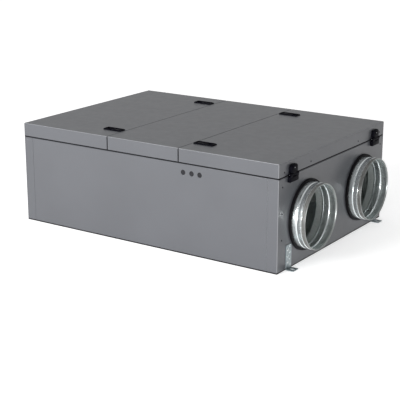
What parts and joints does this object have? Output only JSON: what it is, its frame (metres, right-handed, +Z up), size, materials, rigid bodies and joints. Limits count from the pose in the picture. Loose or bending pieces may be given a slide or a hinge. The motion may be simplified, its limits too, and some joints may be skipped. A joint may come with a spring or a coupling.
{
  "type": "heat recovery unit",
  "caption": "Flat ducted heat recovery unit: sheet-steel casing with hinged latched service doors, round duct spigots, counterflow core, filters, fans and bypass.",
  "frame": {"origin": "middle of the underside, at the floor", "axes": "+X towards the right end, -Y is the front wall with the cable entries, +Z up through the doors"},
  "size_m": [1.324, 0.85, 0.415],
  "materials": {
    "casing_paint": "satin",
    "base_coat": "satin",
    "galvanised_steel": "satin",
    "seal_rubber": "matte",
    "grommet_rubber": "matte",
    "black_plastic": "satin",
    "bright_steel": "satin",
    "foam_lining": "matte",
    "core_plate": "satin",
    "core_frame": "satin",
    "filter_paper": "matte",
    "filter_card": "matte",
    "drain_plastic": "satin",
    "impeller_plastic": "satin",
    "motor_paint": "satin",
    "actuator_plastic": "satin",
    "blade_metal": "satin",
    "board_laminate": "satin"
  },
  "bodies": {
    "casing": {"base_pan": "base_coat", "front_wall": "casing_paint", "back_wall": "casing_paint", "left_end_wall": "casing_paint", "right_end_wall": "casing_paint", "corner_posts": "galvanised_steel", "crossbars": "galvanised_steel", "rim_gasket": "seal_rubber", "base_insulation": "foam_lining", "wall_insulation": "foam_lining", "lane_dividers": "foam_lining", "divider_sheets": "galvanised_steel", "cross_partitions": "foam_lining", "middle_panel": "casing_paint", "middle_panel_lining": "foam_lining", "spigot_collars": "seal_rubber", "mounting_brackets": "galvanised_steel", "casing_fasteners": "bright_steel", "cable_grommets": "grommet_rubber", "drain_tray": "drain_plastic", "drain_pipe": "drain_plastic", "exchanger_core": "core_plate", "exchanger_frame": "core_frame", "filter_frames": "filter_card", "filter_media": "filter_paper", "bypass_duct": "galvanised_steel", "bypass_actuator": "actuator_plastic", "control_box": "galvanised_steel", "control_box_lid": "galvanised_steel", "circuit_board": "board_laminate", "motor_brackets": "galvanised_steel", "hinge_bases": "black_plastic", "hinge_pins": "bright_steel", "latch_keepers": "bright_steel", "left_fan_plate": "galvanised_steel", "left_fan_motor": "motor_paint", "left_front_spigot": "galvanised_steel", "left_back_spigot": "galvanised_steel", "right_fan_plate": "galvanised_steel", "right_fan_motor": "motor_paint", "right_front_spigot": "galvanised_steel", "right_back_spigot": "galvanised_steel"},
    "left_door": {"left_door_skin": "casing_paint", "left_door_lining": "foam_lining", "left_door_fasteners": "bright_steel", "left_hinge_leaves": "black_plastic", "left_latch_bezels": "black_plastic"},
    "left_front_paddle": {"left_front_paddle": "black_plastic"},
    "left_back_paddle": {"left_back_paddle": "black_plastic"},
    "left_impeller": {"left_impeller": "impeller_plastic"},
    "right_door": {"right_door_skin": "casing_paint", "right_door_lining": "foam_lining", "right_door_fasteners": "bright_steel", "right_hinge_leaves": "black_plastic", "right_latch_bezels": "black_plastic"},
    "right_front_paddle": {"right_front_paddle": "black_plastic"},
    "right_back_paddle": {"right_back_paddle": "black_plastic"},
    "right_impeller": {"right_impeller": "impeller_plastic"},
    "bypass_blade": {"bypass_blade": "blade_metal"}
  },
  "joints": [
    {"name": "left_door_hinge", "type": "hinge", "parent": "casing", "child": "left_door", "pos_m": [-0.607, 0, 0.357], "axis": [0, -1, 0], "range_deg": [0, 95], "deforming": ["latch_keepers"]},
    {"name": "right_door_hinge", "type": "hinge", "parent": "casing", "child": "right_door", "pos_m": [0.607, 0, 0.357], "axis": [0, 1, 0], "range_deg": [0, 95], "deforming": ["latch_keepers"]},
    {"name": "left_front_paddle_lift", "type": "hinge", "parent": "left_door", "child": "left_front_paddle", "pos_m": [-0.186, -0.318, 0.409], "axis": [0, 1, 0], "range_deg": [0, 45], "stiffness_Nm_per_rad": 0.05, "springref_deg": -28.65},
    {"name": "left_back_paddle_lift", "type": "hinge", "parent": "left_door", "child": "left_back_paddle", "pos_m": [-0.186, 0.318, 0.409], "axis": [0, 1, 0], "range_deg": [0, 45], "stiffness_Nm_per_rad": 0.05, "springref_deg": -28.65},
    {"name": "right_front_paddle_lift", "type": "hinge", "parent": "right_door", "child": "right_front_paddle", "pos_m": [0.186, -0.318, 0.409], "axis": [0, -1, 0], "range_deg": [0, 45], "stiffness_Nm_per_rad": 0.05, "springref_deg": -28.65},
    {"name": "right_back_paddle_lift", "type": "hinge", "parent": "right_door", "child": "right_back_paddle", "pos_m": [0.186, 0.318, 0.409], "axis": [0, -1, 0], "range_deg": [0, 45], "stiffness_Nm_per_rad": 0.05, "springref_deg": -28.65},
    {"name": "left_impeller_spin", "type": "hinge", "parent": "casing", "child": "left_impeller", "pos_m": [-0.38, 0.214, 0.188], "axis": [-1, 0, 0], "continuous": true},
    {"name": "right_impeller_spin", "type": "hinge", "parent": "casing", "child": "right_impeller", "pos_m": [0.38, 0.214, 0.188], "axis": [1, 0, 0], "continuous": true},
    {"name": "bypass_blade_turn", "type": "hinge", "parent": "casing", "child": "bypass_blade", "pos_m": [-0.16412, -0.06412, 0.2985], "axis": [-0.7071, 0.7071, 0], "range_deg": [0, 90]}
  ]
}
